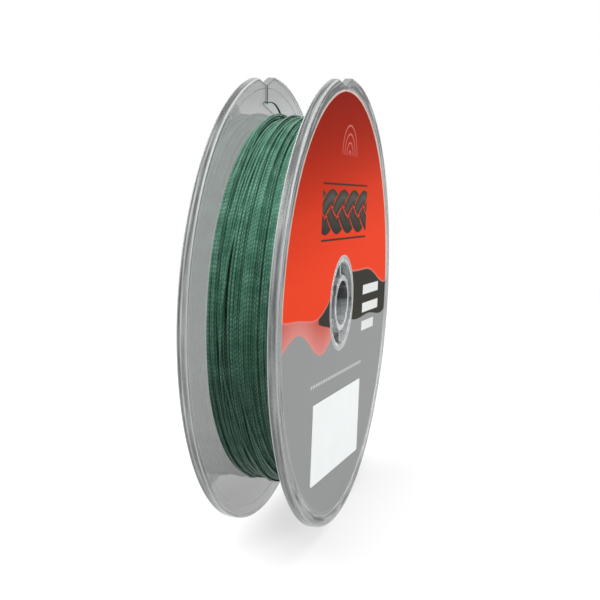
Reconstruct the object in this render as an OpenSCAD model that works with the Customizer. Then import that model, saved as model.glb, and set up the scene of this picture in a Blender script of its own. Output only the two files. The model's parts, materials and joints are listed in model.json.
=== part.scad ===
// Spool of braided fishing line.
// Two clear flanges and a ribbed clear hub hold a drum between them. The line is wound on the drum,
// and its free end is pinched in a slit in the back flange.
// The spool's axis runs along Y, the label faces -Y, and the line notches are at the top, +Z.
// The origin is the middle of the spindle bore.

/* [Flanges] */
// Outer radius of both flanges
flange_r = 50; // [46:0.5:60]
// Overall width over both rims
spool_w = 20.1; // [16:0.1:30]
// Thickness of the rim, which is also how far the web's inner face lies from the outer face
rim_t = 2.05; // [1.6:0.05:3]
// Width of the rim ring that stands round the label seat
rim_w = 2.75; // [2:0.05:4]
// Depth of the label seat below the rim's face
seat_d = 0.4; // [0.3:0.05:0.8]
// Rounding of the rim's two outer corners
rim_round = 0.3; // [0.1:0.05:0.6]

/* [Line notch] */
// Width of the notch at the rim's edge
notch_w = 12; // [6:0.5:14]
// Depth of the notch
notch_d = 1.9; // [1.2:0.1:2.4]
// Width of the slit that pinches the line
slit_w = 0.5; // [0.46:0.02:0.8]
// Length of the slit below the notch
slit_len = 4.2; // [3:0.1:5]

/* [Hub] */
// Radius of the spindle bore
bore_r = 5; // [4:0.1:6]
// Wall of the spindle tube
tube_wall = 1.3; // [0.8:0.1:1.8]
// Radius of the hub's ends, seen through the label's hole
hub_r = 10.35; // [9.8:0.05:12]
// Wall of the hub's outer ring at its ends
hub_wall = 1.1; // [0.8:0.1:1.5]
// How far the hub's shoulder stands out between the flanges
shoulder = 1.4; // [0.8:0.1:3]
// Ribs between the spindle tube and the hub's outer ring
rib_count = 6; // [3:1:8]
// Thickness of each rib
rib_t = 1.1; // [0.8:0.1:1.6]
// How far each rib stops short of the hub's ends
rib_inset = 0.5; // [0.3:0.1:4]

/* [Drum] */
// Depth of line wound on the drum
line_depth = 6.2; // [4:0.1:12]
// Wall of the drum
drum_wall = 1.5; // [1:0.1:2.5]
// Wall of each flange's locating ring inside the drum
ring_wall = 1.2; // [0.8:0.1:2]
// Height of each locating ring
ring_h = 2; // [1:0.1:4]

/* [Label] */
// Thickness of the printed label
label_t = 0.2; // [0.1:0.02:0.25]
// Turn of the label and its sticker about the spool's axis, in degrees
label_turn = -6; // [-15:1:15]
// Width of the blank sticker
sticker_w = 42.4; // [30:0.1:46]
// Height of the blank sticker
sticker_h = 17.6; // [10:0.1:20]
// Thickness of the blank sticker
sticker_t = 0.1; // [0.06:0.01:0.12]
// Corner radius of the blank sticker
sticker_round = 0.5; // [0.2:0.1:2]
// Centre of the blank sticker, left or right of the axis
sticker_x = -0.5; // [-3:0.1:3]
// How far the sticker's lower edge lies above the label's lowest point
sticker_up = 9.5; // [8:0.1:12]

/* [Line] */
// Thickness of the line
line_d = 0.42; // [0.3:0.01:0.44]
// How far the winding's surface lies below the flanges' edge
line_below_edge = 8.8; // [7:0.1:11]
// Loops drawn in the outer layer
line_loops = 18; // [8:1:18]
// Tightest bend of the line at its ends
line_bend = 0.9; // [0.85:0.05:1.2]

/* [Start tape] */
// Width of the tape that holds the line's inner end on the drum
tape_w = 10; // [6:0.5:12]
// Length of the tape round the drum
tape_len = 22; // [12:1:40]
// Thickness of the tape
tape_t = 0.12; // [0.08:0.01:0.2]

/* [Clearances] */
// Radial gap of the hub in the flanges, of the locating rings in the drum and of the label in its seat
fit_gap = 0.05; // [0.03:0.01:0.08]
// Gap between the wound line and each flange
side_gap = 0.15; // [0.1:0.05:0.3]

/* [Hidden] */

clear_grey = [0.78, 0.80, 0.81];
label_red = [0.83, 0.20, 0.12];
line_green = [0.17, 0.42, 0.32];

round_fn = 180; // facets of the large circles where they are shown as a mesh
small_fn = 72; // facets of the small circles
over = 1; // how far a cutter passes the face that it cuts
skin = 0.05; // gap between the packed core and the turns that lie on it

// Flanges
face_z = spool_w / 2;
inner_z = face_z - rim_t;
seat_z = face_z - seat_d;
seat_r = flange_r - rim_w;
hub_hole_r = hub_r + fit_gap;

// Hub
hub_half = seat_z + label_t;
hub_in_r = hub_r - hub_wall;
tube_r = bore_r + tube_wall;
rib_root = 0.3; // how far a rib runs into the walls that it joins

// Winding and drum
winding_r = flange_r - line_below_edge;
drum_r = winding_r - line_depth;
drum_in_r = drum_r - drum_wall;
ring_r = drum_in_r - fit_gap;

// Label
label_r = seat_r - fit_gap;
label_hole_r = hub_hole_r;
sticker_drop = label_r - sticker_up - sticker_h / 2;

// Line
line_r = line_d / 2;
line_sides = 6;
rings_per_loop = 24;
turn_r = winding_r - line_r;
turn_z = inner_z - side_gap - line_r;
turn_pitch = 2 * turn_z / line_loops;
core_r = turn_r * cos(180 / rings_per_loop) - line_r - skin;
core_half = inner_z - side_gap;
start_r = turn_r - line_bend - line_d; // where the outer layer comes up out of the packed line
groove_w = line_d + 2 * skin;

// Notch and slit
notch_floor = flange_r - notch_d;
slit_low = notch_floor - slit_len;
notch_lip = sqrt(pow(flange_r, 2) - pow(notch_w / 2, 2)); // height at which the notch's sides meet the edge

// The line's way from the last turn to the slit
tail_r = slit_low + line_d;
leave_angle = 90 - acos(turn_r / tail_r);
tail_reach = 10; // how far the line keeps its first direction
tail_lead = 2.2; // how far ahead of the slit it has turned along the axis
tail_out = seat_d / 2; // the line's end stays this far inside the back rim's face
bend_steps = 6;
tail_steps = 20;

// Start tape
tape_angle = tape_len / drum_r * 180 / PI;
tape_at = 250; // place of the tape's middle round the drum, in degrees from +X towards +Z

// Turns a shape drawn about +z, with its front at +z and its top at +y, into the spool's own frame.
module place() {
    rotate([90, 0, 0])
        children();
}

module ring(outer_r, inner_r, low, high) {
    translate([0, 0, low])
        difference() {
            cylinder(r = outer_r, h = high - low, $fn = round_fn);
            translate([0, 0, -over])
                cylinder(r = inner_r, h = high - low + 2 * over, $fn = round_fn);
        }
}

// Section of a front flange: web, label seat, rim with rounded corners, and locating ring.
module flange_section() {
    translate([hub_hole_r, inner_z])
        square([flange_r - rim_w / 2 - hub_hole_r, seat_z - inner_z]);
    translate([seat_r, inner_z])
        square([rim_w - rim_round, rim_t]);
    translate([flange_r - 2 * rim_round, inner_z + rim_round])
        square([2 * rim_round, rim_t - 2 * rim_round]);
    for (z = [inner_z + rim_round, face_z - rim_round])
        translate([flange_r - rim_round, z])
            circle(r = rim_round, $fn = small_fn);
    translate([ring_r - ring_wall, inner_z - ring_h])
        square([ring_wall, ring_h + (seat_z - inner_z) / 2]);
}

// V notch, and the slit below it.
module notch_section() {
    half = notch_w / 2;
    polygon([
        [-half, flange_r + over],
        [-half, notch_lip],
        [-slit_w / 2, notch_floor],
        [slit_w / 2, notch_floor],
        [half, notch_lip],
        [half, flange_r + over]
    ]);
    translate([-slit_w / 2, slit_low])
        square([slit_w, slit_len + over / 2]);
}

module flange() {
    difference() {
        rotate_extrude($fn = round_fn)
            flange_section();
        translate([0, 0, inner_z - over])
            linear_extrude(rim_t + 2 * over)
                notch_section();
    }
}

module front_flange() {
    color(clear_grey)
        place()
            flange();
}

module back_flange() {
    color(clear_grey)
        place()
            mirror([0, 0, 1])
                flange();
}

// Hub: spindle tube and shouldered outer ring, joined by ribs.
module hub() {
    color(clear_grey)
        place()
            difference() {
                union() {
                    ring(tube_r, bore_r, -hub_half, hub_half);
                    ring(hub_r, hub_in_r, -hub_half, hub_half);
                    ring(hub_r + shoulder, hub_in_r, -inner_z, inner_z);
                    for (i = [0 : rib_count - 1])
                        rotate([0, 0, (i + 0.5) * 360 / rib_count])
                            translate([tube_r - rib_root, -rib_t / 2, rib_inset - hub_half])
                                cube([hub_in_r - tube_r + 2 * rib_root, rib_t, 2 * (hub_half - rib_inset)]);
                }
                translate([0, 0, -hub_half - over])
                    cylinder(r = bore_r, h = 2 * (hub_half + over), $fn = small_fn);
            }
}

module drum() {
    color(clear_grey)
        place()
            ring(drum_r, drum_in_r, -inner_z, inner_z);
}

// Sector of a ring round the drum, centred on the tape's place.
module tape_sector(outer_r, half_w, angle) {
    rotate([0, 0, tape_at - angle / 2])
        translate([0, 0, -half_w])
            rotate_extrude(angle = angle, $fn = round_fn)
                translate([drum_r, 0])
                    square([outer_r - drum_r, 2 * half_w]);
}

module start_tape() {
    color("ivory")
        place()
            tape_sector(drum_r + tape_t, tape_w / 2, tape_angle);
}

// The packed line under the outer layer, with room for the tape and for the line as it comes up.
module line_core() {
    color(line_green * 0.7)
        place()
            difference() {
                ring(core_r, drum_r, -core_half, core_half);
                tape_sector(drum_r + tape_t + skin, tape_w / 2 + skin, tape_angle + 1);
                rotate([0, 0, leave_angle])
                    translate([start_r, -line_bend - groove_w / 2, turn_z - groove_w / 2])
                        cube([core_r, 2 * line_bend + groove_w, groove_w]);
            }
}

function unit(v) = v / norm(v);
function polar(radius, angle, z) = [radius * cos(angle), radius * sin(angle), z];
function bezier(a, b, c, d, t) =
    a * pow(1 - t, 3) + 3 * b * t * pow(1 - t, 2) + 3 * c * pow(t, 2) * (1 - t) + d * pow(t, 3);

// Rises square out of the packed line, then bends into the first loop.
out_dir = polar(1, leave_angle, 0);
round_dir = polar(1, leave_angle + 90, 0);
function rise_point(up, along) = out_dir * up + round_dir * along + [0, 0, turn_z];
rise = concat(
    [rise_point(start_r, -line_bend)],
    [for (i = [0 : bend_steps - 1])
        let (a = 90 * i / bend_steps)
            rise_point(turn_r - line_bend * (1 - sin(a)), -line_bend * cos(a))]
);

loops = [for (i = [0 : rings_per_loop * line_loops])
    polar(turn_r, leave_angle + i * 360 / rings_per_loop, turn_z - i * turn_pitch / rings_per_loop)];

// Leaves the last loop on a tangent and turns into the slit, which it passes square to the web.
slit_in = [0, tail_r, -inner_z + line_d];
tail = concat(
    [for (i = [1 : tail_steps])
        bezier(
            loops[len(loops) - 1],
            loops[len(loops) - 1] + round_dir * tail_reach,
            slit_in + [0, 0, tail_lead],
            slit_in,
            i / tail_steps
        )],
    [[0, tail_r, tail_out - face_z]]
);

line_path = concat(rise, loops, tail);
path_n = len(line_path);
tangents = [for (i = [0 : path_n - 1])
    unit(line_path[min(i + 1, path_n - 1)] - line_path[max(i - 1, 0)])];
sides = [
    for (i = 0, u = [0, 0, 1];
        i < path_n;
        i = i + 1, u = i < path_n ? unit(u - (u * tangents[i]) * tangents[i]) : u)
        u
];
tube_points = [for (i = [0 : path_n - 1])
    let (u = sides[i], v = cross(tangents[i], u))
        for (k = [0 : line_sides - 1])
            let (a = 360 * (k + 0.5) / line_sides)
                line_path[i] + line_r * (u * cos(a) + v * sin(a))];
tube_faces = concat(
    [for (i = [0 : path_n - 2])
        for (k = [0 : line_sides - 1])
            let (a = i * line_sides + k, b = i * line_sides + (k + 1) % line_sides)
                each [[a, a + line_sides, b], [b, a + line_sides, b + line_sides]]],
    [for (k = [1 : line_sides - 2]) [0, k, k + 1]],
    [for (k = [1 : line_sides - 2])
        let (last = (path_n - 1) * line_sides)
            [last, last + k + 1, last + k]]
);

// The least gap from any ring's centre to any stretch of the line at least half a loop away.
function stretch_gap(p, a, b) =
    let (t = min(1, max(0, (p - a) * (b - a) / ((b - a) * (b - a)))))
        norm(p - a - t * (b - a));
near_reach = turn_r / 2; // rings farther apart than this have no close stretch between them
function least_gap() =
    min([for (i = [0 : path_n - 2], j = [0 : path_n - 1])
        if (abs(i - j) >= rings_per_loop / 2 && norm(line_path[i] - line_path[j]) < near_reach)
            stretch_gap(line_path[j], line_path[i], line_path[i + 1])]) - line_d;

// The outer layer of turns, as one unbroken line from the packed line to its free end.
module line_turns() {
    color(line_green)
        place()
            polyhedron(points = tube_points, faces = tube_faces, convexity = 10);
}

module label_disc() {
    color(label_red)
        place()
            ring(label_r, label_hole_r, seat_z, seat_z + label_t);
}

module blank_sticker() {
    color("white")
        place()
            rotate([0, 0, label_turn])
                translate([sticker_x, -sticker_drop, seat_z + label_t])
                    linear_extrude(sticker_t) {
                        square([sticker_w - 2 * sticker_round, sticker_h], center = true);
                        square([sticker_w, sticker_h - 2 * sticker_round], center = true);
                        for (x = [-1, 1], y = [-1, 1])
                            translate([
                                x * (sticker_w / 2 - sticker_round),
                                y * (sticker_h / 2 - sticker_round)
                            ])
                                circle(r = sticker_round, $fn = small_fn);
                    }
}

front_flange();
back_flange();
hub();
drum();
start_tape();
line_core();
line_turns();
label_disc();
blank_sticker();
echo("Least gap of the line to itself, in mm:", least_gap());  // line_turns
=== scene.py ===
"""Spool of braided fishing line: the finish of every surface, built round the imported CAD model.

Metres, in the CAD model's frame: the spool's axis runs along Y, the label faces -Y, the notches are at +Z.
Sizes below are in millimetres where their name or comment says so, and MM turns them into metres.
"""
import json
import math
from functools import reduce

import bmesh
import bpy
import numpy as np
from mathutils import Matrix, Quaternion, Vector


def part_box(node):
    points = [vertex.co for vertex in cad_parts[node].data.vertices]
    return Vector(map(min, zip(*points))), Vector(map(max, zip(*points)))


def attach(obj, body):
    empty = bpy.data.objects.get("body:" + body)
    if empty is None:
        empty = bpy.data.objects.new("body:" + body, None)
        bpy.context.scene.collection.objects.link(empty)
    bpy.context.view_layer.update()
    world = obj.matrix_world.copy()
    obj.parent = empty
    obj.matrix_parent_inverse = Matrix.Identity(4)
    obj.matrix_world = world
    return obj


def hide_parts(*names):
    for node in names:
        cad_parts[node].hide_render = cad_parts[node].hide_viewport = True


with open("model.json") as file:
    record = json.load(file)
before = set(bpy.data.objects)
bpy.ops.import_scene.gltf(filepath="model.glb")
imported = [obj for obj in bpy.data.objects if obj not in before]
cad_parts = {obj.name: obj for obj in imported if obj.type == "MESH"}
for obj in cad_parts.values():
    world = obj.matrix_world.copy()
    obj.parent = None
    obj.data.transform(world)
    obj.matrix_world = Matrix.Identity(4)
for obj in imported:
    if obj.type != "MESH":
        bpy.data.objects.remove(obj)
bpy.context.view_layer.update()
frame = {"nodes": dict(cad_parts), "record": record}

MM = 0.001
ROOT = "root"


# ---------------------------------------------------------------- sizes, from the frame
def high_x(node):
    """Largest radius of a node that is round about the Y axis, in mm."""
    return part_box(node)[1].x / MM


flange_r = high_x("front_flange")
face_w = -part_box("front_flange")[0].y / MM  # from the spool's middle to a rim's face
inner_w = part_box("drum")[1].y / MM  # to a web's inner face
seat_w = -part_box("label_disc")[1].y / MM  # to the label seat
label_w = -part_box("label_disc")[0].y / MM  # to the label's printed face
label_r = high_x("label_disc")
drum_r = high_x("drum")
hub_shoulder_r = high_x("hub")
hub_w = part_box("hub")[1].y / MM
core_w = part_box("line_core")[1].y / MM

bore_mount = next(m for m in frame["record"]["mounts"] if m["name"] == "spindle_bore")
bore_r = bore_mount["dims"]["r_mm"]

# Sizes that no box gives, in mm, as the CAD model has them.
rim_ring = 2.75
rim_round = 0.3
fit_gap = 0.05
hub_r = 10.35
hub_wall = 1.1
tube_wall = 1.3
rib_count = 6
rib_t = 1.1
rib_inset = 0.5
drum_wall = 1.5
ring_wall = 1.2
ring_h = 2.0
notch_half = 6.0
notch_d = 1.9
slit_half = 0.25
slit_len = 4.2
tape_t = 0.12
line_d = 0.42
winding_r = 41.2

# Sizes of the drawn line alone, in mm.
pack_r = 39.35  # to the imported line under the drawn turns
side_gap = 0.15  # between the drawn turns and each flange
tail_reach = 10  # how far the free end keeps its first direction
tail_lead = 2.2  # how far ahead of the slit it has turned along the axis
tail_in = 0.2  # from its tip to the back rim's face

hole_r = hub_r + fit_gap
notch_floor = flange_r - notch_d
notch_lip = math.sqrt(flange_r ** 2 - notch_half ** 2)
notch_slope = (notch_lip - notch_floor) / (notch_half - slit_half)
slit_low = notch_floor - slit_len
ring_r = drum_r - drum_wall - fit_gap

# ---------------------------------------------------------------- camera
CAM_AZIMUTH = math.radians(-73.93)
CAM_ELEVATION = math.radians(10.98)
CAM_DISTANCE = 270.8 * MM
CAM_ROLL = math.radians(0.61)
CAM_LENS = 71.4
CAM_SENSOR = 36
CAM_NEAR = 0.01
CAM_FAR = 20

camera_data = bpy.data.cameras.new("camera")
camera_data.sensor_width = CAM_SENSOR
camera_data.lens = CAM_LENS
camera_data.clip_start = CAM_NEAR
camera_data.clip_end = CAM_FAR
camera = bpy.data.objects.new("camera", camera_data)
bpy.context.scene.collection.objects.link(camera)
bpy.context.scene.camera = camera
from_spool = Vector((
    math.sin(CAM_AZIMUTH) * math.cos(CAM_ELEVATION),
    -math.cos(CAM_AZIMUTH) * math.cos(CAM_ELEVATION),
    math.sin(CAM_ELEVATION),
))
camera.location = from_spool * CAM_DISTANCE
camera.rotation_mode = "QUATERNION"
camera.rotation_quaternion = (-from_spool).to_track_quat("-Z", "Y") @ Quaternion((0, 0, 1), CAM_ROLL)
bpy.context.scene.view_settings.view_transform = "Standard"


# ---------------------------------------------------------------- node arithmetic
class Value:
    """A number in a material, written with plain arithmetic."""

    def __init__(self, tree, socket):
        self.tree = tree
        self.socket = socket

    def _math(self, operation, *inputs, clamp=False):
        node = self.tree.nodes.new("ShaderNodeMath")
        node.operation = operation
        node.use_clamp = clamp
        for slot, x in zip(node.inputs, inputs):
            if isinstance(x, Value):
                self.tree.links.new(x.socket, slot)
            else:
                slot.default_value = x
        return Value(self.tree, node.outputs[0])

    def __add__(self, other):
        return self._math("ADD", self, other)

    def __radd__(self, other):
        return self._math("ADD", other, self)

    def __sub__(self, other):
        return self._math("SUBTRACT", self, other)

    def __rsub__(self, other):
        return self._math("SUBTRACT", other, self)

    def __mul__(self, other):
        return self._math("MULTIPLY", self, other)

    def __truediv__(self, other):
        return self._math("DIVIDE", self, other)

    def sin(self):
        return self._math("SINE", self)

    def cos(self):
        return self._math("COSINE", self)

    def abs(self):
        return self._math("ABSOLUTE", self)

    def atan2(self, other):
        return self._math("ARCTAN2", self, other)

    def floor(self):
        return self._math("FLOOR", self)

    def fract(self):
        return self._math("FRACT", self)

    def root(self):
        return self._math("SQRT", self)

    def mod(self, other):
        return self._math("FLOORED_MODULO", self, other)

    def max(self, other):
        return self._math("MAXIMUM", self, other)

    def clamp(self):
        """The value held between 0 and 1."""
        return self._math("ADD", self, 0.0, clamp=True)

    def ramp(self, gain, offset=0.0):
        """gain times the value, plus offset, held between 0 and 1."""
        return self._math("MULTIPLY_ADD", self, gain, offset, clamp=True)

    def over(self, edge, soft):
        """0 below the edge, 1 above it, with a ramp soft wide."""
        return self._math("MULTIPLY_ADD", self - edge, 1 / soft, 0.5, clamp=True)

    def under(self, edge, soft):
        """1 below the edge, 0 above it."""
        return self._math("MULTIPLY_ADD", edge - self, 1 / soft, 0.5, clamp=True)

    def near(self, line, half, soft):
        """1 up to half away from the line, 0 further off."""
        return (self - line).abs().under(half, soft)


def hypot(a, b):
    """The length of the sum of two steps at right angles."""
    return (a * a + b * b).root()


def most(values):
    """The largest of several values."""
    return reduce(Value.max, values)


def linear(hex_colour):
    """A linear colour from an sRGB one written as RRGGBB."""
    shares = [int(hex_colour[i:i + 2], 16) / 255 for i in (0, 2, 4)]
    return (*[s / 12.92 if s <= 0.04045 else ((s + 0.055) / 1.055) ** 2.4 for s in shares], 1.0)


class Material:
    """A node material with the few calls that the finishes below need."""

    def __init__(self, name):
        self.data = bpy.data.materials.new(name)
        self.data.use_nodes = True
        self.tree = self.data.node_tree
        self.shader = self.tree.nodes["Principled BSDF"]
        self.output = self.tree.nodes["Material Output"]

    def node(self, kind, **settings):
        node = self.tree.nodes.new(kind)
        for key, value in settings.items():
            setattr(node, key, value)
        return node

    def link(self, source, target):
        self.tree.links.new(source.socket if isinstance(source, Value) else source, target)

    def place(self):
        """The point's place in mm, as three values."""
        coordinates = self.node("ShaderNodeTexCoord")
        parts = self.node("ShaderNodeSeparateXYZ")
        self.link(coordinates.outputs["Object"], parts.inputs[0])
        return [Value(self.tree, parts.outputs[i]) * (1 / MM) for i in range(3)]

    def uv(self, name):
        """The point's two values on a UV map."""
        uv_map = self.node("ShaderNodeUVMap", uv_map=name)
        parts = self.node("ShaderNodeSeparateXYZ")
        self.link(uv_map.outputs[0], parts.inputs[0])
        return [Value(self.tree, parts.outputs[i]) for i in range(2)]

    def noise(self, scale, detail=2.0, at=None, roughness=0.5):
        """Noise from 0 to 1, with scale in repeats per mm. at gives other values to read it by."""
        noise = self.node("ShaderNodeTexNoise")
        noise.inputs["Detail"].default_value = detail
        noise.inputs["Roughness"].default_value = roughness
        if at is None:
            coordinates = self.node("ShaderNodeTexCoord")
            self.link(coordinates.outputs["Object"], noise.inputs["Vector"])
            noise.inputs["Scale"].default_value = scale / MM
        else:
            joined = self.node("ShaderNodeCombineXYZ")
            for value, slot in zip(at, joined.inputs):
                self.link(value, slot)
            self.link(joined.outputs[0], noise.inputs["Vector"])
            noise.inputs["Scale"].default_value = scale
        return Value(self.tree, noise.outputs["Fac"])

    def blend(self, share, low, high):
        """A colour between low and high. Each is a linear colour or a colour socket."""
        mix = self.node("ShaderNodeMix", data_type="RGBA")
        self.link(share, mix.inputs["Factor"])
        for value, slot in ((low, mix.inputs[6]), (high, mix.inputs[7])):
            if isinstance(value, tuple):
                slot.default_value = value
            else:
                self.link(value, slot)
        return mix.outputs[2]

    def bump(self, height, depth, strength=1.0):
        """Raises the surface by height (0 to 1) times depth in mm."""
        bump = self.node("ShaderNodeBump")
        bump.inputs["Strength"].default_value = strength
        bump.inputs["Distance"].default_value = depth * MM
        self.link(height, bump.inputs["Height"])
        self.link(bump.outputs[0], self.shader.inputs["Normal"])

    def mix_shader(self, share, low, high):
        mix = self.node("ShaderNodeMixShader")
        self.link(share, mix.inputs[0])
        self.link(low, mix.inputs[1])
        self.link(high, mix.inputs[2])
        return mix.outputs[0]

    def set(self, **sockets):
        for key, value in sockets.items():
            slot = self.shader.inputs[key.replace("_", " ")]
            if isinstance(value, (Value, bpy.types.NodeSocket)):
                self.link(value, slot)
            else:
                slot.default_value = value


def light_path(tree, *kinds):
    """1 for a ray of any of these kinds."""
    node = tree.nodes.new("ShaderNodeLightPath")
    return most([Value(tree, node.outputs[kind]) for kind in kinds])


def shows_backdrop(tree):
    """1 for a ray that shows the backdrop, directly, mirrored or through the plastic.

    0 for a ray that gathers light for a matt surface.
    """
    node = tree.nodes.new("ShaderNodeLightPath")
    matt = Value(tree, node.outputs["Diffuse Depth"]).over(0.5, 0.5)
    return light_path(tree, "Is Camera Ray", "Is Glossy Ray", "Is Transmission Ray") * (1.0 - matt)


# ---------------------------------------------------------------- materials
# Painted shade on the web, darker low down and near the top, and the clear colour where the web has none.
WEB_SHADE = (0.40, 0.41, 0.41, 1.0)
WEB_LOW_SHADE = (0.28, 0.285, 0.28, 1.0)
WEB_TOP_SHADE = (0.29, 0.295, 0.295, 1.0)
INNER_CLEAR = (0.84, 0.86, 0.86, 1.0)
# Painted reflections on the rim ring's face and on the rim, a painted highlight on the rim's corners and
# painted dark reflections on the cut faces.
RING_REFLECTION_DARK = (0.032, 0.034, 0.033, 1.0)
RING_REFLECTION_PALE = (0.38, 0.40, 0.405, 1.0)
RIM_REFLECTION_DARK = (0.06, 0.064, 0.064, 1.0)
RIM_REFLECTION_PALE = (0.78, 0.80, 0.80, 1.0)
CORNER_HIGHLIGHT = (0.84, 0.86, 0.86, 1.0)
CUT_DARK_REFLECTION = (0.13, 0.137, 0.136, 1.0)
HUB_SMOKE = (0.80, 0.82, 0.83, 1.0)
# Painted shade in the hub's facets, and painted shade and a painted reflection in its bore.
HUB_SHADE = (0.16, 0.17, 0.17, 1.0)
BORE_SHADE = (0.09, 0.093, 0.093, 1.0)
BORE_REFLECTION = (0.62, 0.64, 0.65, 1.0)
# Colours of a painted glow that stands in for light guided on inside the plastic.
GUIDED_LOW = (0.14, 0.15, 0.15, 1.0)
GUIDED_HIGH = (0.50, 0.52, 0.52, 1.0)
GUIDED_TURNS = 2.5  # inner reflections after which a ray counts as guided
SHADOW_PASS = 0.9  # share of a lamp's light that each face of the plastic lets by
PLASTIC_IOR = 1.5
PLASTIC_GLOSS = 0.5
HAZE = 0.03  # roughness that handling marks add at most
WEB_ROUGH = 0.03
RIM_ROUGH = 0.14  # added to the web's on the rim
HUB_ROUGH = 0.04
HUB_CLEAR = 0.7  # see-through share of the hub
DRUM_CLEAR = 0.8
FACETS = 0.42  # for each mm of the hub

# Milky, and so not see-through, share of each part of a flange, where the painted reflections and
# highlights show.
RIM_MILK = 0.25
CORNER_MILK = 0.3
RING_MILK = 0.75
NOTCH_MILK = 0.72
SLIT_MILK = 0.95

# Reach of each finish on a flange, in mm.
CORNER_BAND = 0.34  # from a rim's corner
CUT_BAND = 0.12  # from a notch's flank
FACE_BAND = 0.15  # from the rim ring's face
BACK_RIM_LESS = 1.9  # how much narrower the back rim's finish is
SHADE_IN = 1.5  # how far the painted shade of the back web reaches in under the line
TOP_EDGE = 43.5  # height over the axis from which the web's painted shade darkens it again


def streaks(m, length, fineness):
    """Streaks that run round the spool, from 0 to 1. length is in mm, fineness in streaks for each mm."""
    x, y, z = m.place()
    around = x.atan2(z) * flange_r
    return m.noise(1.0, at=(around * (1 / length), hypot(x, z) * fineness, y * fineness))


def clear_plastic(name, tint, clear, rough, gloss=PLASTIC_GLOSS):
    """Moulded clear plastic with faint flow ripples and a fine haze of handling marks.

    tint, clear, rough and gloss say how it is coloured, how much of it is see-through, how rough it is
    and how strongly its milky share reflects. Each is a plain value, or a function of the material where
    it varies.
    """
    m = Material(name)
    tint, clear, rough, gloss = [x(m) if callable(x) else x for x in (tint, clear, rough, gloss)]
    m.set(Base_Color=tint, IOR=PLASTIC_IOR, Transmission_Weight=clear, Specular_IOR_Level=gloss)
    m.set(Roughness=m.noise(scale=0.9, detail=4.0) * HAZE + rough)
    m.bump(m.noise(scale=0.12, detail=1.0), depth=0.05, strength=0.35)
    # Rays that have turned inside the plastic a few times end on a painted glow in streaks along the rim,
    # which stands in for light guided on inside it.
    guided = m.node("ShaderNodeEmission")
    shine = streaks(m, length=11.0, fineness=0.9).ramp(3.2, -1.1)
    m.link(m.blend(shine, GUIDED_LOW, GUIDED_HIGH), guided.inputs["Color"])
    path = m.node("ShaderNodeLightPath")
    deep = Value(m.tree, path.outputs["Glossy Depth"]).over(GUIDED_TURNS, 0.5)
    inner = m.mix_shader(deep, m.shader.outputs[0], guided.outputs[0])
    # Lamps reach what is behind the plastic.
    through = m.node("ShaderNodeBsdfTransparent")
    through.inputs["Color"].default_value = (SHADOW_PASS, SHADOW_PASS, SHADOW_PASS, 1)
    shadow = Value(m.tree, path.outputs["Is Shadow Ray"])
    m.link(m.mix_shader(shadow, inner, through.outputs[0]), m.output.inputs["Surface"])
    return m.data


def on_back(y):
    """1 on the back flange, 0 on the front one."""
    return y.over(0.0, 1.0)


def rim_share(m):
    """1 on the rim, 0 on the web. On the back flange, with no label, only the outermost part counts."""
    x, y, z = m.place()
    start = on_back(y) * BACK_RIM_LESS + (flange_r - rim_ring + 0.1)
    return (hypot(x, z) - start).over(0.0, 0.2)


def rim_corners(m):
    """1 on the rim's rounded corners."""
    x, y, z = m.place()
    outer = hypot(x, z).near(flange_r, CORNER_BAND, 0.1)
    face = y.abs().near(face_w, CORNER_BAND, 0.1)
    back = y.abs().near(inner_w, CORNER_BAND, 0.1)
    return outer * face.max(back)


def notch_cuts(m):
    """How milky the cut faces of the notch and the slit are, and 0 elsewhere."""
    x, y, z = m.place()
    upper = z.over(slit_low - 0.1, 0.1)
    flank = (x.abs() - slit_half) * notch_slope + notch_floor
    notch = z.near(flank, CUT_BAND, CUT_BAND / 2) * x.abs().under(notch_half, 0.1)
    slit = x.abs().under(slit_half + CUT_BAND / 2, 0.04)
    return (notch * NOTCH_MILK).max(slit * SLIT_MILK) * upper


def ring_face(m):
    """1 on the front rim ring's flat face."""
    x, y, z = m.place()
    inside = hypot(x, z).under(flange_r - rim_round - 0.1, 0.2)
    return y.near(-face_w, FACE_BAND, 0.1) * inside


def ring_reflection_mottle(m):
    """Painted reflections in patches on the front rim ring's flat face, darker towards the top: 0 where
    they are dark, 1 where they are pale.
    """
    x, y, z = m.place()
    top = z.ramp(1 / 22, -0.8)
    patches = streaks(m, length=12.0, fineness=1.3) * 4.2 - 1.5
    return (patches - top * 0.6).clamp()


def ring_dark_reflection(m):
    """1 on the painted dark reflections on the ring's face."""
    return ring_face(m) * (1.0 - ring_reflection_mottle(m))


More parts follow.
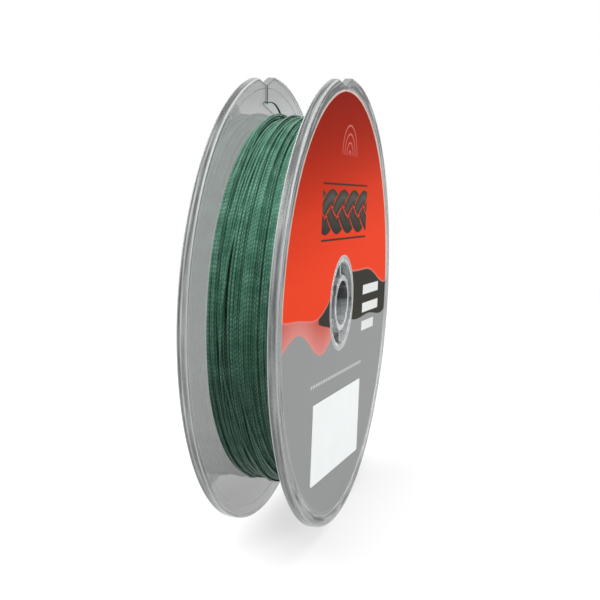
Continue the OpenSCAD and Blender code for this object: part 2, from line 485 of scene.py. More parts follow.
def flange_tint(m):
    """Painted reflections in streaks on the rim and in patches on the ring's face, painted highlights on
    the rim's corners, painted shade in the web and painted dark reflections on the cuts.
    """
    x, y, z = m.place()
    # Painted reflections in streaks round the rim, darker towards the top.
    fine = streaks(m, length=16.0, fineness=1.8).ramp(5.0, -2.1)
    broad = streaks(m, length=30.0, fineness=0.15).ramp(2.6, -0.8)
    top = z.ramp(1 / 20, -1.5)
    rim = m.blend((fine * 0.65 + broad * 0.35 - top * 0.4).clamp(), RIM_REFLECTION_DARK, RIM_REFLECTION_PALE)
    # Patches of painted reflection on the rim ring's face.
    rim = m.blend(ring_face(m), rim, m.blend(ring_reflection_mottle(m), RING_REFLECTION_DARK, RING_REFLECTION_PALE))
    # Painted shade in the web, darker towards the bottom and near the top.
    web = m.blend(z.ramp(1 / 50, 0.8), WEB_LOW_SHADE, WEB_SHADE)
    web = m.blend(z.over(TOP_EDGE, 4.0), web, WEB_TOP_SHADE)
    # The painted shade stays on the back web, which has the pale background behind it, and only beyond the
    # line.
    shaded_web = hypot(x, z).over(pack_r - SHADE_IN, 2.0) * on_back(y)
    web = m.blend(shaded_web, INNER_CLEAR, web)
    colour = m.blend(rim_share(m), web, rim)
    # Painted highlights along the rim's rounded corners.
    colour = m.blend(rim_corners(m) * 0.85, colour, CORNER_HIGHLIGHT)
    # Painted dark reflections on the cut faces of the notch and the slit.
    return m.blend(notch_cuts(m).ramp(2.0), colour, CUT_DARK_REFLECTION)


def flange_clear(m):
    milk = (rim_share(m) * RIM_MILK).max(rim_corners(m) * CORNER_MILK).max(ring_dark_reflection(m) * RING_MILK)
    return 1.0 - milk.max(notch_cuts(m))


def flange_gloss(m):
    return PLASTIC_GLOSS - ring_dark_reflection(m) * 0.45


def flange_rough(m):
    return rim_share(m) * RIM_ROUGH + WEB_ROUGH


def hub_tint(m):
    """Painted shade in facets, and a bore with painted shade above and a painted reflection below."""
    x, y, z = m.place()
    bore = hypot(x, z).under(bore_r + 0.1, 0.1)
    # Painted shade in the bore's upper half and a painted reflection in its lower half.
    wall = m.blend(z.over(-0.2, 0.8), BORE_REFLECTION, BORE_SHADE)
    # Painted shade in facets over the hub.
    cells = m.node("ShaderNodeTexVoronoi")
    cells.inputs["Scale"].default_value = FACETS / MM
    coordinates = m.node("ShaderNodeTexCoord")
    m.link(coordinates.outputs["Object"], cells.inputs["Vector"])
    facet = m.node("ShaderNodeSeparateColor")
    m.link(cells.outputs["Color"], facet.inputs[0])
    dark = Value(m.tree, facet.outputs[0]).over(0.62, 0.3) * 0.75
    return m.blend(bore, m.blend(dark, HUB_SMOKE, HUB_SHADE), wall)


# The lightest colour is a painted highlight on the carriers' crowns; the darkest is painted shade in the
# crevices between carriers and rows, and darker tone at random.
LINE_HIGHLIGHT = linear("86BBA4")
LINE_MID = linear("38755C")
LINE_DARK = linear("194434")
PICK = 0.95  # mm of line that one carrier takes to go round


def braided_line(name):
    """Four-carrier braid. The UV map holds mm along the line and turns round it."""
    m = Material(name)
    along, around = m.uv("braid")
    right = along / PICK + around * 2
    left = along / PICK - around * 2
    over = (right.floor() + left.floor()).mod(2.0)
    ridge_right = (right.fract() * math.pi).sin()
    ridge_left = (left.fract() * math.pi).sin()
    ridge = over * ridge_right + (1.0 - over) * ridge_left
    fibres = (left * 40.0).sin() * 0.5 + 0.5
    height = ridge * 0.9 + fibres * 0.1
    patch = m.noise(scale=0.10)
    wear_and_glint = m.noise(scale=0.35, detail=3.0)
    # Painted shade in the crevices between carriers, with darker and lighter tone at random.
    tone_and_gap_shade = (ridge * 0.4 + patch * 0.5 + wear_and_glint * 0.3 - 0.16).clamp()
    colour = m.blend(tone_and_gap_shade, LINE_DARK, LINE_MID)
    # Painted highlights on the carriers' crowns.
    colour = m.blend((ridge * wear_and_glint).ramp(1.3, -0.35), colour, LINE_HIGHLIGHT)
    m.set(Base_Color=colour, Roughness=0.5 - ridge * 0.1, Specular_IOR_Level=0.28)
    m.set(Sheen_Weight=0.18, Sheen_Roughness=0.5, Sheen_Tint=(0.8, 0.92, 0.87, 1))
    m.bump(height, depth=0.05, strength=0.8)
    return m.data


def packed_line(name):
    """Layers of line seen end on through the plastic, as rows with painted shade in the gap between them.
    """
    m = Material(name)
    along, across = m.uv("braid")
    row = (across * (2 * math.pi)).cos() * -0.5 + 0.5
    picks = (along / PICK).fract()
    slant = (across * 2 + picks).fract()
    grain = m.noise(scale=0.5, detail=3.0)
    tone_and_gap_shade = (row * 0.55 + slant * 0.25 + grain * 0.4 - 0.25).clamp()
    m.set(Base_Color=m.blend(tone_and_gap_shade, LINE_DARK, LINE_MID), Roughness=0.7, Specular_IOR_Level=0.3)
    m.bump(row * 0.8 + slant * 0.2, depth=0.1)
    return m.data


RED_DARK = linear("881A0C")
RED_MID = linear("BE2F18")
RED_BRIGHT = linear("F04728")
CHARCOAL = linear("35332D")
CHARCOAL_LIGHT = linear("6B675E")
LABEL_GREY = linear("9A9C9B")
PINK = linear("E0918A")
PALE = linear("E9EBEA")
BARE_LOW = linear("A4A8A6")  # unprinted film at the label's edge, beside the grey
BARE_HIGH = linear("D8C2B6")  # the same beside the red
BARE_HOLE = linear("C9C9C6")
BARE_BACK = linear("DEDDD8")

# The print, in mm from the disc's middle, with u to the right and v up.
PRINT_TURN = math.radians(-6)
BLUR = 0.12  # width of a printed edge
HAIRLINE = 0.22  # half the width of a thin rule
SWELL_LEFT = -20  # where the charcoal swell starts
PLAIT_V = 20.5
PLAIT_HALF = 20.5  # half its length
PLAIT_SWING = 3.1
PLAIT_STEP = 30.0  # length of one swing to and fro
STRANDS = 3
STRAND_HALF = 1.8
STRAND_GAP = 0.4
PLAIT_RULE = 6.0  # from the plait's middle to the rules over and under it
RIPPLE_U = 1.5
RIPPLE_V = 33
RIPPLE_STEP = 1.9
RIPPLE_REACH = 7.0
BARS = ((1.5, 37.5), (-2.9, 37.8), (-7.3, 33.5))  # each bar's height and right end
BAR_LEFT = 20.6
BAR_HALF = 1.15
RULE_U = -1.0
RULE_V = -16.0
RULE_HALF = 23.0  # half its length
MARGIN = 0.3  # unprinted film round the print
HOLE_MARGIN = 0.4


def red_field(m, u, v):
    """Dark at the top and bright low down."""
    rise = (v - u * 0.12).ramp(1 / 46)
    red = m.blend(rise.ramp(1.6, -0.35), RED_BRIGHT, RED_MID)
    return m.blend(rise.ramp(1.9, -0.95), red, RED_DARK)


def swells(m, u, v, red_low):
    """The red field down to the height red_low, and a charcoal and a pale swell under it, on grey."""
    dark_low = red_low - 1.2 - (u - SWELL_LEFT).ramp(1 / 12) * ((u * 0.07 + 0.4).sin() * 3.0 + 7.5)
    pale_low = red_low - 6.4 - (u * -0.13 + 0.2).sin() * 3.6
    pink = m.blend((v - pale_low).ramp(1 / 10), PINK, RED_MID)
    colour = m.blend(v.over(pale_low, BLUR) * (10 - u).ramp(1 / 14), LABEL_GREY, pink)
    colour = m.blend(v.over(dark_low, BLUR) * (u - SWELL_LEFT).ramp(2.0), colour, CHARCOAL)
    colour = m.blend(v.over(red_low, BLUR), colour, red_field(m, u, v))
    return m.blend(v.near(red_low, HAIRLINE, BLUR) * 0.55, colour, PINK)


def plait(m, u, v, colour):
    """A plait of three strands across the red field, between two rules."""
    up = v - PLAIT_V
    wave = 2 * math.pi / PLAIT_STEP
    strands = []
    for k in range(STRANDS):
        phase = u * wave + k * 2 * math.pi / STRANDS
        slope = phase.cos() * (PLAIT_SWING * wave)
        distance = (up - phase.sin() * PLAIT_SWING).abs() / (slope * slope + 1).root()
        depth = (phase * 2).sin() + 2
        strands.append((distance.under(STRAND_HALF + STRAND_GAP, 0.02) * depth, distance))
    best = most([score for score, distance in strands])
    inks, lights = [], []
    for score, distance in strands:
        on_top = (best - score).under(0.01, 0.002) * best.over(0.5, 0.1)
        inks.append(on_top * distance.under(STRAND_HALF, BLUR))
        lights.append(on_top * distance.ramp(-1 / STRAND_HALF, 1.0))
    inside = u.abs().under(PLAIT_HALF, BLUR)
    ink = m.blend(up.ramp(0.08, 0.35) * most(lights), CHARCOAL, CHARCOAL_LIGHT)
    colour = m.blend(most(inks) * inside, colour, ink)
    return m.blend(up.abs().near(PLAIT_RULE, HAIRLINE, BLUR) * inside, colour, CHARCOAL)


def printed_label(name):
    """A plain print of waves and a plait: red above, charcoal and pale pink swells, grey below."""
    m = Material(name)
    x, y, z = m.place()
    u = x * math.cos(PRINT_TURN) + z * math.sin(PRINT_TURN)
    v = z * math.cos(PRINT_TURN) - x * math.sin(PRINT_TURN)
    radius = hypot(x, z)
    red_low = 3.2 + u * 0.07 + (u * 0.085 + 0.7).sin() * 3.4 + (u * 0.2 + 2.0).sin() * 0.8
    colour = plait(m, u, v, swells(m, u, v, red_low))

    # Pale ripples high on the red field.
    from_middle = hypot(u - RIPPLE_U, v - RIPPLE_V)
    ring = (from_middle * (1 / RIPPLE_STEP)).fract().near(0.5, 0.1, 0.06)
    ripples = ring * from_middle.under(RIPPLE_REACH, BLUR) * v.over(RIPPLE_V, BLUR)
    colour = m.blend(ripples * 0.6, colour, PINK)

    # Blank bars at the right of the hub, and a plain dashed rule over the sticker.
    for height, end in BARS:
        bar = v.near(height, BAR_HALF, BLUR) * u.over(BAR_LEFT, BLUR) * u.under(end, BLUR)
        colour = m.blend(bar, colour, PALE)
    dash = (u * 0.5).fract().under(0.7, 0.05)
    rule = v.near(RULE_V, 0.35, BLUR) * u.near(RULE_U, RULE_HALF, BLUR) * dash
    colour = m.blend(rule * 0.55, colour, PALE)

    # The cut edges of the film and its glued side are unprinted.
    margin = (x.abs() * (0.7 / label_r) + radius).over(label_r - MARGIN, BLUR)
    colour = m.blend(margin, colour, m.blend(v.over(red_low, BLUR), BARE_LOW, BARE_HIGH))
    colour = m.blend(radius.under(hole_r + HOLE_MARGIN, BLUR), colour, BARE_HOLE)
    colour = m.blend(y.over(-(label_w + seat_w) / 2, 0.02), colour, BARE_BACK)
    grain = m.noise(scale=1.6, detail=4.0)
    m.set(Base_Color=colour, Roughness=grain * 0.12 + 0.42, Specular_IOR_Level=0.006)
    m.bump(m.noise(scale=0.05), depth=0.12, strength=0.25)
    return m.data


def sticker_paper(name):
    """Coated paper: almost white, with faint fibres."""
    m = Material(name)
    fibres = m.noise(scale=3.0, detail=6.0, roughness=0.65)
    cloud = m.noise(scale=0.12)
    m.set(Base_Color=m.blend(fibres * 0.5 + cloud * 0.5, linear("ECF2F1"), linear("F9FCFC")))
    m.set(Roughness=fibres * 0.2 + 0.5, Specular_IOR_Level=0.35)
    m.bump(fibres, depth=0.03, strength=0.3)
    return m.data


def start_tape(name):
    """Thin ivory tape with a crepe."""
    m = Material(name)
    crepe = m.noise(scale=1.2, detail=3.0)
    m.set(Base_Color=m.blend(crepe, linear("CFC6A6"), linear("E8E2CC")), Roughness=crepe * 0.2 + 0.5)
    m.bump(crepe, depth=0.05)
    return m.data


# ---------------------------------------------------------------- mesh helpers
def new_object(name, vertices, faces, material, uv=None):
    """A mesh object from points in mm. uv has one pair for each corner of each face."""
    mesh = bpy.data.meshes.new(name)
    mesh.from_pydata((np.asarray(vertices, float) * MM).tolist(), [], faces)
    if uv is not None:
        layer = mesh.uv_layers.new(name="braid")
        layer.data.foreach_set("uv", np.asarray(uv, np.float32).ravel())
    mesh.materials.append(material)
    mesh.validate()
    mesh.update()
    piece = bpy.data.objects.new(name, mesh)
    bpy.context.scene.collection.objects.link(piece)
    return piece


def smooth(piece, sharp=35):
    """Smooth shading, apart from edges over sharp degrees."""
    piece.data.shade_smooth()
    piece.data.set_sharp_from_angle(angle=math.radians(sharp))


def rounded(corners, steps=4, hold=0.03):
    """A closed outline in mm from (across, along, radius) corners, each corner an arc of that radius.

    A point on each side of an arc holds the flats flat under smooth shading.
    """
    points = []
    for i, (a, b, radius) in enumerate(corners):
        here = np.array([a, b], float)
        if radius <= 0:
            points.append(here)
            continue
        before = np.array(corners[i - 1][:2], float) - here
        after = np.array(corners[(i + 1) % len(corners)][:2], float) - here
        before /= np.linalg.norm(before)
        after /= np.linalg.norm(after)
        half = math.acos(np.clip(before @ after, -1, 1)) / 2
        reach = radius / math.tan(half)
        centre = here + (before + after) / np.linalg.norm(before + after) * radius / math.sin(half)
        start, end = here + before * reach, here + after * reach
        points.append(start + before * hold)
        for k in range(steps + 1):
            t = k / steps
            chord = start * (1 - t) + end * t - centre
            points.append(centre + chord / np.linalg.norm(chord) * radius)
        points.append(end + after * hold)
    return np.array(points)


def even_angles(steps):
    """Angles of even steps round the axis."""
    return np.arange(steps) * 2 * math.pi / steps


def lathe(name, outline, material, angles, side=1, dip=None, uv=None):
    """A ring about the Y axis from a closed outline of (radius, distance along the axis) in mm.

    The outline is swept through the angles, measured from +Z towards +X. side is +1 for the back and
    -1 for the front. dip(angles) gives how far points near the outer edge are drawn in at each angle.
    uv gives each outline point's second value.
    """
    count, loop = len(angles), len(outline)
    radii = np.repeat(outline[None, :, 0], count, 0)
    if dip:
        outer = outline[:, 0] > flange_r - rim_round - 0.06
        radii = radii - np.where(outer[None, :], dip(angles)[:, None], 0)
    x = radii * np.sin(angles)[:, None]
    z = radii * np.cos(angles)[:, None]
    y = np.repeat(outline[None, :, 1] * side, count, 0)
    vertices = np.stack([x, y, z], -1).reshape(-1, 3)
    faces, corners = [], []
    for i in range(count):
        j = (i + 1) % count
        for k in range(loop):
            n = (k + 1) % loop
            quad = [i * loop + k, i * loop + n, j * loop + n, j * loop + k]
            faces.append(quad if side > 0 else quad[::-1])
            if uv is not None:
                low, high = uv[k], uv[k] + 0.5 if n == 0 else uv[n]
                turn = angles[i] * winding_r, (angles[j] if j else 2 * math.pi) * winding_r
                pairs = [(turn[0], low), (turn[0], high), (turn[1], high), (turn[1], low)]
                corners.extend(pairs if side > 0 else pairs[::-1])
    piece = new_object(name, vertices, faces, material, corners if uv is not None else None)
    outward_faces(piece)
    return piece


def outward_faces(piece):
    """Turns a closed mesh's faces outwards."""
    mesh = bmesh.new()
    mesh.from_mesh(piece.data)
    bmesh.ops.recalc_face_normals(mesh, faces=mesh.faces)
    if mesh.calc_volume(signed=True) < 0:
        bmesh.ops.reverse_faces(mesh, faces=mesh.faces)
    mesh.to_mesh(piece.data)
    mesh.free()


def combine(piece, tool, operation):
    """Unites piece with tool, or cuts tool out of it, and removes the tool."""
    modifier = piece.modifiers.new("combine", "BOOLEAN")
    modifier.operation = operation
    modifier.solver = "EXACT"
    modifier.object = tool
    bpy.context.view_layer.update()
    done = bpy.data.meshes.new_from_object(piece.evaluated_get(bpy.context.evaluated_depsgraph_get()))
    piece.modifiers.remove(modifier)
    old = piece.data
    piece.data = done
    bpy.data.meshes.remove(old)
    bpy.data.objects.remove(tool)


def block(name, low, high, material, turn=0.0):
    """A box between two corners in mm, turned about the Y axis."""
    corners = [(x, y, z) for x in (low[0], high[0]) for y in (low[1], high[1]) for z in (low[2], high[2])]
    faces = [(0, 1, 3, 2), (4, 6, 7, 5), (0, 4, 5, 1), (2, 3, 7, 6), (0, 2, 6, 4), (1, 5, 7, 3)]
    c, s = math.cos(turn), math.sin(turn)
    vertices = [(x * c + z * s, y, z * c - x * s) for x, y, z in corners]
    piece = new_object(name, vertices, faces, material)
    outward_faces(piece)
    return piece


# ---------------------------------------------------------------- clear pieces
AIR = 0.02  # mm of air between two pieces that would share a face
CUT_PAST = 1  # mm that the slit's tool reaches past the flange's faces
CUT_OVER = 0.6  # mm that it reaches over the notch's floor
WELD = 0.3  # mm that a rib reaches into the walls that it joins

# Even steps round each turned piece.
FLANGE_STEPS = 300
FLANK_STEPS = 16  # finer ones on each flank of the notch
HUB_STEPS = 96
DRUM_STEPS = 192
PACK_STEPS = 150
LABEL_STEPS = 240


def notch_dip(angles):
    """How far the flange's edge is drawn in at each angle, in mm, by the V notch."""
    near_top = np.cos(angles) > 0.9
    side = np.maximum(np.cos(angles) - notch_slope * np.abs(np.sin(angles)), 0.1)
    flank = (notch_floor - notch_slope * slit_half) / side
    floor = notch_floor / np.maximum(np.cos(angles), 0.1)
    return np.where(near_top, np.maximum(flange_r - np.maximum(flank, floor), 0), 0)


def flange_angles():
    """Even steps round the flange, with finer ones across the notch."""
    reach = math.asin(notch_half / flange_r)
    flanks = np.linspace(slit_half / notch_floor, reach, FLANK_STEPS)
    fine = np.concatenate([-flanks[::-1], flanks])
    even = even_angles(FLANGE_STEPS)
    even = even[(even > reach * 1.05) & (even < 2 * math.pi - reach * 1.05)]
    return np.concatenate([fine, even])


def make_flange(name, node, side, seat_gap):
    """A clear flange: web, label seat, rim with rounded corners, locating ring, notch and slit."""
    outline = rounded([
        (hole_r, inner_w, 0.08),
        (ring_r - ring_wall, inner_w, 0.2),
        (ring_r - ring_wall, inner_w - ring_h, 0.3),
        (ring_r, inner_w - ring_h, 0.3),
        (ring_r, inner_w, 0.15),
        (flange_r, inner_w, rim_round),
        (flange_r, face_w, rim_round),
        (flange_r - rim_ring, face_w, 0.2),
        (flange_r - rim_ring, seat_w - seat_gap, 0.08),
        (hole_r, seat_w - seat_gap, 0.08),
    ])
    piece = lathe(name, outline, CLEAR, flange_angles(), side=side, dip=notch_dip)
    slit = block(
        "slit",
        (-slit_half, side * (inner_w - CUT_PAST), slit_low),
        (slit_half, side * (face_w + CUT_PAST), notch_floor + CUT_OVER),
        CLEAR,
    )
    combine(piece, slit, "DIFFERENCE")
    smooth(piece, sharp=32)
    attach(piece, ROOT)
    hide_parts(node)


def make_hub():
    """Spindle tube and shouldered ring, joined by ribs that stop short of the ends."""
    piece = lathe("clear_hub", rounded([
        (bore_r, -hub_w, 0.12),
        (bore_r + tube_wall, -hub_w, 0.25),
        (bore_r + tube_wall, hub_w, 0.25),
        (bore_r, hub_w, 0.12),
    ]), CLEAR_HUB, even_angles(HUB_STEPS))
    wall_in = hub_r - hub_wall
    shell = lathe("hub_shell", rounded([
        (wall_in, -hub_w, 0.2),
        (hub_r, -hub_w, 0.25),
        (hub_r, -inner_w, 0.05),
        (hub_shoulder_r, -inner_w, 0.2),
        (hub_shoulder_r, inner_w, 0.2),
        (hub_r, inner_w, 0.05),
        (hub_r, hub_w, 0.25),
        (wall_in, hub_w, 0.2),
    ]), CLEAR_HUB, even_angles(HUB_STEPS))
    combine(piece, shell, "UNION")
    for i in range(rib_count):
        turn = (i + 0.5) * 2 * math.pi / rib_count + math.pi / 2
        rib = block(
            "rib",
            (-rib_t / 2, -hub_w + rib_inset, bore_r + tube_wall - WELD),
            (rib_t / 2, hub_w - rib_inset, wall_in + WELD),
            CLEAR_HUB,
            turn=turn,
        )
        combine(piece, rib, "UNION")
    smooth(piece, sharp=32)
    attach(piece, ROOT)
    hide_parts("hub")


def make_drum():
    """The clear sleeve under the line, a hair smaller than the flats of the start tape round it."""
    outer = drum_r - AIR * 2
    piece = lathe("clear_drum", rounded([
        (drum_r - drum_wall, -inner_w + AIR, 0.15),
        (outer, -inner_w + AIR, 0.15),
        (outer, inner_w - AIR, 0.15),
        (drum_r - drum_wall, inner_w - AIR, 0.15),
    ]), CLEAR_DRUM, even_angles(DRUM_STEPS))
    smooth(piece)
    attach(piece, ROOT)
    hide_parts("drum")


# ---------------------------------------------------------------- line
TURNS = 106
STEPS = 96  # points for each turn
LINE_SIDES = 8
LINE_FLAT = 0.75  # the drawn line's thickness, as a share of a round one's
TRAVERSE = 0.0145  # times that the line runs to and fro across the drum in one turn
UNEVEN = 0.004  # how far it runs ahead or behind in that
SLIPS = 7  # places where an outer turn has slipped sideways over its neighbours
SLIP_TURNS = (1.6, 30)  # how far before the line's end they lie, in turns
DRIFTS = (  # times in a turn, and size in mm, of each sideways drift
    (1.012, 0.42),
    (2.021, 0.24),
    (3.018, 0.12),
    (5.03, 0.05),
    (0.31, 0.05),
    (0.47, 0.04),
)
CELL = 0.06  # mm across the drum between two readings of the pack's height
CELLS_OVER = 3  # cells that a turn covers on each side of its middle
NESTLE = 0.7  # height of a turn's middle over what it rests on, as a share of its half thickness
PILE = 0.8  # height of its top over its middle, for the turns that come to rest on it
BRIDGE = 3  # points over which the taut line bridges a dip
TAUT = 0.6  # how far it does so
rng = np.random.default_rng(11)


def pack_swell(place, angle):
    """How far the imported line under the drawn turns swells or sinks, in mm."""
    humps = 0.24 * np.cos(2 * math.pi * place / 8.8 + 0.9 + 0.7 * np.sin(angle + 0.4))
    slow = 0.10 * np.sin(2 * angle + place * 0.5)
    edge = -0.45 * np.clip((np.abs(place) - 6.2) / 1.6, 0, 1) ** 2
    return humps + slow + edge


def wander(turns):
    """Sideways drift along the line, in mm. It is nearly the same from one turn to the next."""
    total = np.zeros_like(turns)
    for frequency, share in DRIFTS:
        total += share * np.sin(2 * math.pi * (frequency * turns + rng.random()))
    return total


def ease(t):
    """From 0 to 1 as t does, with flat ends."""
    t = np.clip(t, 0, 1)
    return t * t * (3 - 2 * t)


def traverse_path(turns):
    """The line's place across the drum at each point, in mm: to and fro, with some drift and slips."""
    half = inner_w - side_gap - line_d / 2
    to_go = TURNS - turns
    phase = to_go * TRAVERSE + UNEVEN * np.sin(to_go * 0.71)
    place = half * (1 - 4 * np.abs((phase + 0.5) % 1 - 0.5))
    place = place + wander(turns)
    for at in TURNS - np.linspace(*SLIP_TURNS, SLIPS) + rng.uniform(-0.5, 0.5, SLIPS):
        size = rng.uniform(1.2, 3.6) * rng.choice([-1, 1])
        out = ease((turns - at) / rng.uniform(0.10, 0.2))
        back = ease((turns - at - rng.uniform(0.4, 0.8)) / rng.uniform(0.3, 0.6))
        place = place + size * (out - back)
    place = np.clip(place, -half, half)
    last = ease(to_go / 0.3)
    return place * last + half * (1 - last)


def lay_line(place, angle):
    """The line's radius at each point, in mm, as each turn comes to rest on those under it."""
    cells = int(2 * core_w / CELL) + 1
    across = np.linspace(-core_w, core_w, cells)
    around = angle[:STEPS]
    surface = pack_r + pack_swell(across[None, :], around[:, None])
    reach = np.arange(-CELLS_OVER, CELLS_OVER + 1)
    cap = np.sqrt((line_d / 2) ** 2 - (reach * CELL) ** 2)
    window = range(2 * BRIDGE + 1)
    radius = np.zeros_like(place)
    chunk = STEPS // 2
    for start in range(0, len(place), chunk):
        i = np.arange(start, min(start + chunk, len(place)))
        row = (i % STEPS)[:, None]
        middle = np.rint((place[i] + core_w) / CELL).astype(int)[:, None]
        column = np.clip(middle + reach, 0, cells - 1)
        rest = (surface[row, column] + cap * NESTLE).max(1)
        padded = np.pad(rest, 2 * BRIDGE, mode="edge")
        taut = np.max([padded[k:len(padded) - 2 * BRIDGE + k] for k in window], 0)
        level = np.mean([taut[k:k + len(rest)] for k in window], 0)
        radius[i] = level * TAUT + rest * (1 - TAUT)
        surface[row, column] = np.maximum(surface[row, column], radius[i][:, None] + cap * PILE)
    return radius


def winding_path():
    """The outer layers as one line: points in mm, from inside the pack to where it leaves for the slit."""
    turns = np.arange(TURNS * STEPS + 1) / STEPS
    angle = 2 * math.pi * turns + LEAVE_ANGLE
    place = traverse_path(turns)
    radius = lay_line(place, angle)
    last = ease((TURNS - turns) / 0.25)
    radius = radius * last + TURN_R * (1 - last)
    return np.stack([radius * np.cos(angle), place, radius * np.sin(angle)], -1)


TURN_R = winding_r - line_d / 2
TAIL_R = slit_low + line_d
LEAVE_ANGLE = math.pi / 2 - math.acos(TURN_R / TAIL_R)
TAIL_STEPS = 24


def tail_path(start):
    """From the last turn to the slit, and through the back flange."""
    away = np.array([-math.sin(LEAVE_ANGLE), 0, math.cos(LEAVE_ANGLE)])
    slit_in = np.array([0, inner_w - line_d, TAIL_R])
    a, b = start, start + away * tail_reach
    c, d = slit_in - np.array([0, tail_lead, 0]), slit_in
    points = []
    for t in np.linspace(0, 1, TAIL_STEPS + 1)[1:]:
        s = 1 - t
        points.append(a * s ** 3 + 3 * b * t * s * s + 3 * c * t * t * s + d * t ** 3)
    points.append(np.array([0, face_w - tail_in, TAIL_R]))
    return np.array(points)


def tube(name, path, radius, material):
    """A closed tube along a path in mm, a little flattened.

    Its UV map has mm along it and turns round it.
    """
    tangent = np.gradient(path, axis=0)
    tangent /= np.linalg.norm(tangent, axis=1)[:, None]
    out = path * np.array([1, 0, 1])
    out /= np.linalg.norm(out, axis=1)[:, None]
    out -= (out * tangent).sum(1)[:, None] * tangent
    out /= np.linalg.norm(out, axis=1)[:, None]
    across = np.cross(tangent, out)
    sides = np.arange(LINE_SIDES) * 2 * math.pi / LINE_SIDES
    ring = (
        out[:, None, :] * (np.cos(sides) * radius * LINE_FLAT)[None, :, None]
        + across[:, None, :] * (np.sin(sides) * radius * (2 - LINE_FLAT))[None, :, None]
    )
    vertices = (path[:, None, :] + ring).reshape(-1, 3)
    length = np.concatenate([[0], np.cumsum(np.linalg.norm(np.diff(path, axis=0), axis=1))])
    i = np.repeat(np.arange(len(path) - 1), LINE_SIDES)
    k = np.tile(np.arange(LINE_SIDES), len(path) - 1)
    n = (k + 1) % LINE_SIDES
    here, there = i * LINE_SIDES, (i + 1) * LINE_SIDES
    quads = np.stack([here + k, here + n, there + n, there + k], 1)
    u0, u1 = length[i], length[i + 1]
    v0, v1 = k / LINE_SIDES, (k + 1) / LINE_SIDES
    uv = np.stack([u0, v0, u0, v1, u1, v1, u1, v0], 1).reshape(-1, 2)
    last = (len(path) - 1) * LINE_SIDES
    ends = [list(range(LINE_SIDES))[::-1], [last + s for s in range(LINE_SIDES)]]
    uv = np.concatenate([uv, np.zeros((2 * LINE_SIDES, 2))])
    piece = new_object(name, vertices, quads.tolist() + ends, material, uv)
    outward_faces(piece)
    smooth(piece, sharp=70)
    return piece


def make_winding():
    """The outer layers and the free end, as one unbroken line."""
    path = winding_path()
    path = np.concatenate([path, tail_path(path[-1])])
    piece = tube("wound_line", path, line_d / 2, LINE)
    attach(piece, ROOT)
    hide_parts("line_turns")


PACK_UNDER = 0.25  # mm from the drawn turns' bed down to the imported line's face
TAPE_AIR = 0.08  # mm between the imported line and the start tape
SCALLOP = 0.32  # how far each row of line stands out, in rows
ARC_STEPS = 4  # for each row


def make_pack():
    """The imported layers: rows of line on both sides, and a ribbed outer face under the drawn turns."""
    row = line_d
    top = pack_r - PACK_UNDER
    low = drum_r + tape_t + TAPE_AIR
    side = core_w - row * SCALLOP
    rows = int((top - low) / row)
    columns = int(2 * core_w / row)
    points, across = [], []

    def scallops(start, end, count, normal, base):
        for c in range(count):
            for k in range(ARC_STEPS):
                t = (c + k / ARC_STEPS) / count
                rise = np.array(normal) * math.sin(math.pi * k / ARC_STEPS) * row * SCALLOP
                points.append(np.array(start) * (1 - t) + np.array(end) * t + rise)
                across.append((base + c + k / ARC_STEPS) * 0.5)

    scallops((low, side), (top, side), rows, (0, 1), 0)
    scallops((top, side), (top, -side), columns, (1, 0), rows)
    scallops((top, -side), (low, -side), rows, (0, -1), rows + columns)
    points.append(np.array([low, -side]))
    across.append((2 * rows + columns) * 0.5)
    piece = lathe("packed_line", np.array(points), PACKED, even_angles(PACK_STEPS), uv=across)
    smooth(piece, sharp=50)
    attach(piece, ROOT)
    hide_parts("line_core")


# ---------------------------------------------------------------- label, sticker and tape
def make_label():
    """Printed film in the front flange's seat."""
    piece = lathe("printed_label", rounded([
        (hole_r, seat_w, 0.04),
        (label_r, seat_w, 0.04),
        (label_r, label_w, 0.06),
        (hole_r, label_w, 0.06),
    ], steps=2, hold=0.02), LABEL, even_angles(LABEL_STEPS), side=-1)
    smooth(piece)
    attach(piece, ROOT)
    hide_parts("label_disc")


def dress(node, material):
    """Gives a CAD node that stays its finish."""
    mesh = frame["nodes"][node].data
    mesh.materials.clear()
    mesh.materials.append(material)


# ---------------------------------------------------------------- build
CLEAR = clear_plastic("clear_plastic", flange_tint, flange_clear, flange_rough, flange_gloss)
CLEAR_HUB = clear_plastic("clear_hub_plastic", hub_tint, HUB_CLEAR, HUB_ROUGH)
CLEAR_DRUM = clear_plastic("clear_drum_plastic", HUB_SMOKE, DRUM_CLEAR, HUB_ROUGH)
LINE = braided_line("braided_line")
PACKED = packed_line("packed_line")
LABEL = printed_label("printed_label")

make_flange("clear_front_flange", "front_flange", -1, AIR)
make_flange("clear_back_flange", "back_flange", 1, 0)
make_hub()
make_drum()
make_winding()
make_pack()
make_label()
dress("blank_sticker", sticker_paper("sticker_paper"))
dress("start_tape", start_tape("start_tape"))


# ---------------------------------------------------------------- floor, world and lamps
FLOOR_PALE = (0.86, 0.86, 0.86, 1.0)
BOUNCE_NEAR = (0.3, 0.3, 0.3, 1.0)  # how pale the floor is in the light that it throws on the spool
BOUNCE_FAR = (0.12, 0.12, 0.12, 1.0)
FLOOR_HALF = 3000  # mm, half the floor's side
FLOOR_GAP = 0.05  # mm under the rims
BOUNCE_FADE = 130  # mm over which the floor's bounced light fades
GLOW_FADE = 260  # mm over which the floor turns into the white behind
GLOW_NEAR = 0.65  # share of that white under the spool
AMBIENT = 0.07  # the world's strength where it isn't seen
WHITE = (1, 1, 1, 1)
KEY_PLACE = (-140, 150, 740)
KEY_SIZE = 700
FILL_SIZE = 500


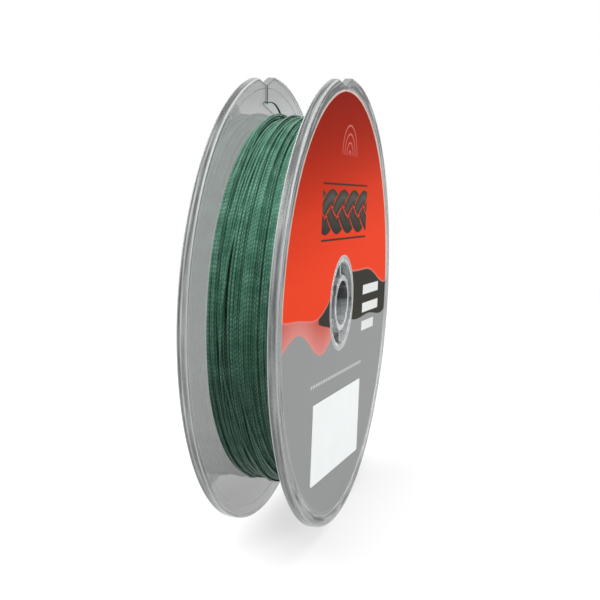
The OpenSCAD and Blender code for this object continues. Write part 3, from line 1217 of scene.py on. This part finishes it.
def make_floor():
    """A pale floor that keeps the spool's shadow and fades into the white behind."""
    m = Material("floor")
    x, y, z = m.place()
    distance = hypot(x, y)
    bounce = light_path(m.tree, "Is Diffuse Ray")
    bounced = m.blend(distance.ramp(1 / BOUNCE_FADE, -0.4), BOUNCE_NEAR, BOUNCE_FAR)
    m.set(Base_Color=m.blend(bounce, FLOOR_PALE, bounced), Roughness=0.7, Specular_IOR_Level=0.1)
    glow = m.node("ShaderNodeEmission")
    glow.inputs["Color"].default_value = WHITE
    glow.inputs["Strength"].default_value = 1.0
    away = distance.ramp(1 / GLOW_FADE, -0.25)
    white = shows_backdrop(m.tree) * (away * (1 - GLOW_NEAR) + GLOW_NEAR)
    m.link(m.mix_shader(white, m.shader.outputs[0], glow.outputs[0]), m.output.inputs["Surface"])
    half = FLOOR_HALF
    low = -flange_r - FLOOR_GAP
    corners = [(-half, -half, low), (half, -half, low), (half, half, low), (-half, half, low)]
    floor = new_object("floor", corners, [(0, 1, 2, 3)], m.data)


def make_world():
    """White to the camera and in reflections, and an even plain light otherwise."""
    world = bpy.data.worlds.new("world")
    bpy.context.scene.world = world
    world.use_nodes = True
    tree = world.node_tree
    background = tree.nodes["Background"]
    background.inputs["Color"].default_value = WHITE
    strength = shows_backdrop(tree) * (1 - AMBIENT) + AMBIENT
    tree.links.new(strength.socket, background.inputs["Strength"])


def lamp(name, place, size, watts, mirrored=True):
    """A square soft lamp at a place in mm, turned to the spool's middle."""
    data = bpy.data.lights.new(name, "AREA")
    data.shape = "SQUARE"
    data.size = size * MM
    data.energy = watts
    light = bpy.data.objects.new(name, data)
    light.location = Vector(place) * MM
    light.rotation_mode = "QUATERNION"
    light.rotation_quaternion = (-light.location).to_track_quat("-Z", "Y")
    light.visible_transmission = False
    light.visible_glossy = mirrored
    bpy.context.scene.collection.objects.link(light)


make_floor()
make_world()
lamp("key", KEY_PLACE, KEY_SIZE, 11.4, mirrored=False)
lamp("key_shine", KEY_PLACE, KEY_SIZE, 2.6)
lamp("front", (120, -720, 300), FILL_SIZE, 5.2)
lamp("back", (260, 720, 300), FILL_SIZE, 2.4)
